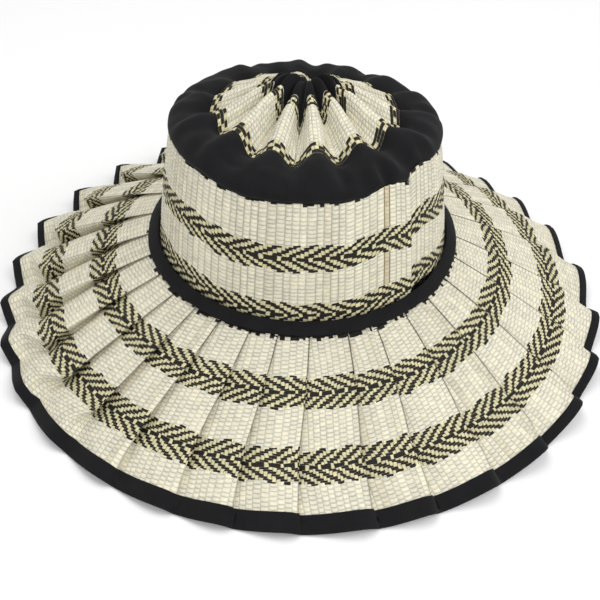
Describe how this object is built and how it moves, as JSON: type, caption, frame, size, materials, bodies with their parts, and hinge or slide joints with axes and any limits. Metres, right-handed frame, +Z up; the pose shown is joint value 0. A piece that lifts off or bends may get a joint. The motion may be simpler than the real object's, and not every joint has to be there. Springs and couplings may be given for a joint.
{
  "type": "pleated straw sun hat",
  "caption": "Wide-brimmed sun hat of pleated woven straw in cream and black, with a gathered black cotton crown, a black base band and a bound brim edge.",
  "frame": {"origin": "centre of the hat's outline, on the surface that it stands on", "axes": "+Z up, +X towards the wearer's left, -Y towards the front of the hat"},
  "size_m": [0.4092, 0.4068, 0.1739],
  "materials": {
    "straw": "woven paper straw, matt, with black chevron rows",
    "cotton": "matt black cotton"
  },
  "bodies": {
    "root": {"crown_wall": "straw", "centre_gather": "cotton", "crown_rosette": "straw", "crown_puff": "cotton", "base_band": "cotton", "brim": "straw", "brim_binding": "cotton"}
  },
  "joints": []
}
